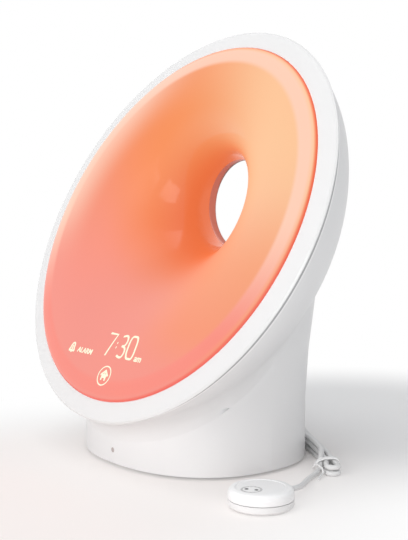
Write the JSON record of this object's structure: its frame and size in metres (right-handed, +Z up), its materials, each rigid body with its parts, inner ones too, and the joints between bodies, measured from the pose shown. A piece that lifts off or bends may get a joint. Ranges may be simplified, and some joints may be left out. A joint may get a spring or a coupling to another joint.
{
  "type": "sunrise alarm clock",
  "caption": "Sunrise alarm clock: tilted ring-shaped lamp head with a central hole on an oval pedestal, touch display, rear speaker and a wired bed sensor.",
  "frame": {"origin": "on the surface it stands on, under the centre of the oval pedestal", "axes": "+Z up; -Y out of the lit front; +X to the right seen from the front"},
  "size_m": [0.2203, 0.1538, 0.2214],
  "materials": {
    "basket_steel": "black painted steel",
    "board_green": "green solder mask",
    "board_white": "white solder mask",
    "can_metal": "sleeved can",
    "cell_steel": "steel cell",
    "chip_black": "moulded package",
    "clear_film": "clear film",
    "cone_grey": "pressed paper",
    "cord_white": "soft white sheath",
    "foam_black": "closed foam",
    "foot_rubber": "soft rubber",
    "glow_lens": "translucent light cover lit from behind, orange to pink",
    "grey_bay": "textured grey",
    "led_white": "lit display lights",
    "led_yellow": "phosphor package",
    "magnet_dark": "ferrite",
    "mask_dark": "moulded light guide",
    "puck_white": "fine satin moulding",
    "reflector_white": "diffuse white",
    "screw_steel": "zinc plated",
    "smoke_window": "smoked window",
    "socket_black": "socket body",
    "socket_metal": "plated shell",
    "tie_white": "moulded clip",
    "white_case": "fine satin moulding",
    "white_gloss": "smooth moulded gloss",
    "wire_grey": "insulated wire"
  },
  "bodies": {
    "clock": {"aux_socket": "socket_black", "backup_cell": "cell_steel", "base_plate": "white_case", "base_screws": "screw_steel", "board_capacitors": "can_metal", "board_chips": "chip_black", "board_screws": "screw_steel", "cell_holder": "chip_black", "charge_socket": "socket_metal", "display_board": "board_green", "display_leds": "led_white", "display_mask": "mask_dark", "display_ribbon": "wire_grey", "front_bezel": "white_gloss", "front_diffuser": "glow_lens", "light_board": "board_white", "light_harness": "wire_grey", "light_leds": "led_yellow", "light_sensor_window": "smoke_window", "light_tray": "reflector_white", "main_board": "board_green", "power_inlet": "socket_black", "rear_bay": "grey_bay", "rear_housing": "white_case", "rubber_feet": "foot_rubber", "sensor_socket": "socket_black", "speaker_basket": "basket_steel", "speaker_gasket": "foam_black", "speaker_leads": "wire_grey", "speaker_magnet": "magnet_dark", "speaker_screws": "screw_steel", "speaker_surround": "foot_rubber", "throat_collar": "white_gloss", "touch_film": "clear_film", "tray_screws": "screw_steel"},
    "speaker_cone": {"speaker_cone": "cone_grey"},
    "bed_sensor": {"sensor_board": "board_green", "sensor_bottom_cover": "puck_white", "sensor_chips": "chip_black", "sensor_hank": "cord_white", "sensor_lead": "cord_white", "sensor_pad": "foot_rubber", "sensor_plug_body": "cord_white", "sensor_plug_shell": "socket_metal", "sensor_relief": "cord_white", "sensor_tail": "cord_white", "sensor_top_cover": "puck_white", "cord_tie": "tie_white"}
  },
  "joints": [
    {"name": "cone_travel", "type": "slide", "parent": "clock", "child": "speaker_cone", "axis": [0, 1, 0], "range_m": [-0.001, 0.001], "stiffness_N_per_m": 1500},
    {"name": "sensor_plug_pull", "type": "slide", "parent": "clock", "child": "bed_sensor", "axis": [0, 1, 0], "range_m": [0, 0.014]}
  ]
}
